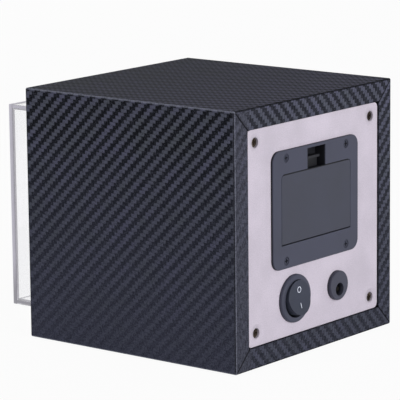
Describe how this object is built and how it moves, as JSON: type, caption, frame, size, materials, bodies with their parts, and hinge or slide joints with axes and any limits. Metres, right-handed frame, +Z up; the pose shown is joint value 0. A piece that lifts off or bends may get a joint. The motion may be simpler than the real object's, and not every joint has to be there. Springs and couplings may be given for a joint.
{
  "type": "watch winder box",
  "caption": "Cube watch winder wrapped in embossed leatherette: clear pull-off cover, motor-turned cup with a watch pillow, grey rear panel with battery tray, rocker switch and supply socket.",
  "frame": {"origin": "on the floor, at the centre of the felt under the case", "axes": "+Z up; the clear front cover faces -Y and the rear panel +Y; +X is the right side seen from the front"},
  "size_m": [0.122, 0.1495, 0.1208],
  "materials": {
    "leatherette": "satin leatherette with a twill emboss",
    "fibreboard": "raw fibreboard",
    "felt": "black felt",
    "velvet": "black velvet",
    "velvet_board": "board faced with black velvet",
    "suede_board": "board faced with light grey suede",
    "pillow_suede": "light grey suede",
    "grip_foam": "flocked foam",
    "acrylic": "clear polished acrylic",
    "cup_plastic": "satin black plastic",
    "tray_plastic": "fine-textured dark slate plastic",
    "switch_plastic": "semi-gloss black plastic",
    "jack_plastic": "black plastic",
    "gear_nylon": "white nylon",
    "gearbox_plastic": "grey plastic",
    "circuit": "green solder mask",
    "chip": "black moulded resin",
    "header_plastic": "natural nylon",
    "steel": "bright steel",
    "black_steel": "blackened steel",
    "bronzed_steel": "bronzed steel",
    "motor_steel": "zinc-plated steel",
    "aluminium": "turned aluminium",
    "brass": "plain brass",
    "wire": "black and red insulation"
  },
  "bodies": {
    "case": {"top_board": "fibreboard", "bottom_board": "fibreboard", "left_board": "fibreboard", "right_board": "fibreboard", "leatherette_wrap": "leatherette", "base_felt": "felt", "velvet_lining": "velvet", "fascia_board": "velvet_board", "front_battens": "fibreboard", "rear_battens": "fibreboard", "partition_board": "fibreboard", "output_bush": "brass", "gear_axles": "steel", "gearbox_base": "gearbox_plastic", "gearbox_cover": "gearbox_plastic", "gearbox_screws": "steel", "motor_can": "motor_steel", "motor_end_cap": "gearbox_plastic", "motor_terminals": "brass", "motor_screws": "steel", "rear_panel": "suede_board", "panel_screws": "bronzed_steel", "battery_tray": "tray_plastic", "tray_screws": "black_steel", "contact_plates": "steel", "contact_springs": "steel", "switch_body": "switch_plastic", "switch_terminals": "brass", "jack_body": "jack_plastic", "jack_pin": "brass", "jack_nut": "steel", "jack_lugs": "brass", "control_board": "circuit", "board_standoffs": "header_plastic", "control_chip": "chip", "smoothing_capacitor": "aluminium", "wire_headers": "header_plastic", "panel_wires": "wire", "motor_wires": "wire"},
    "front_cover": {"cover_front_pane": "acrylic", "cover_top_pane": "acrylic", "cover_bottom_pane": "acrylic", "cover_left_pane": "acrylic", "cover_right_pane": "acrylic"},
    "rotor": {"rotor_cup": "cup_plastic", "rotor_hub": "aluminium", "hub_screws": "steel", "hub_set_screw": "black_steel", "pillow_grip_left": "grip_foam", "pillow_grip_right": "grip_foam", "output_shaft": "steel", "output_gear": "gear_nylon"},
    "pillow": {"watch_pillow": "pillow_suede"},
    "second_reduction": {"second_gear": "gear_nylon"},
    "first_reduction": {"first_gear": "gear_nylon"},
    "motor_rotor": {"motor_shaft": "steel", "motor_pinion": "brass"},
    "rocker": {"switch_rocker": "switch_plastic"},
    "battery_door": {"battery_lid": "tray_plastic"}
  },
  "joints": [
    {"name": "cover_slide", "type": "slide", "parent": "case", "child": "front_cover", "axis": [0, -1, 0], "range_m": [0, 0.05]},
    {"name": "rotor_spin", "type": "hinge", "parent": "case", "child": "rotor", "pos_m": [0, 0.013, 0.0608], "axis": [0, 1, 0], "continuous": true},
    {"name": "pillow_slide", "type": "slide", "parent": "rotor", "child": "pillow", "axis": [0, -1, 0], "range_m": [0, 0.022]},
    {"name": "second_gear_spin", "type": "hinge", "parent": "case", "child": "second_reduction", "pos_m": [0.00492, 0.013, 0.07433], "axis": [0, 1, 0], "continuous": true},
    {"name": "first_gear_spin", "type": "hinge", "parent": "case", "child": "first_reduction", "pos_m": [-0.00433, 0.013, 0.08536], "axis": [0, 1, 0], "continuous": true},
    {"name": "motor_spin", "type": "hinge", "parent": "case", "child": "motor_rotor", "pos_m": [0.00492, 0.013, 0.09639], "axis": [0, 1, 0], "continuous": true},
    {"name": "rocker_tilt", "type": "hinge", "parent": "case", "child": "rocker", "pos_m": [0.0162, 0.0602, 0.028], "axis": [-1, 0, 0], "range_deg": [0, 18]},
    {"name": "battery_lid_swing", "type": "hinge", "parent": "case", "child": "battery_door", "pos_m": [0, 0.0616, 0.0552], "axis": [-1, 0, 0], "range_deg": [0, 85]}
  ],
  "couplings": [
    {"joint": "second_gear_spin", "follows": "rotor_spin", "ratio": -5},
    {"joint": "first_gear_spin", "follows": "rotor_spin", "ratio": 25},
    {"joint": "motor_spin", "follows": "rotor_spin", "ratio": -125}
  ]
}
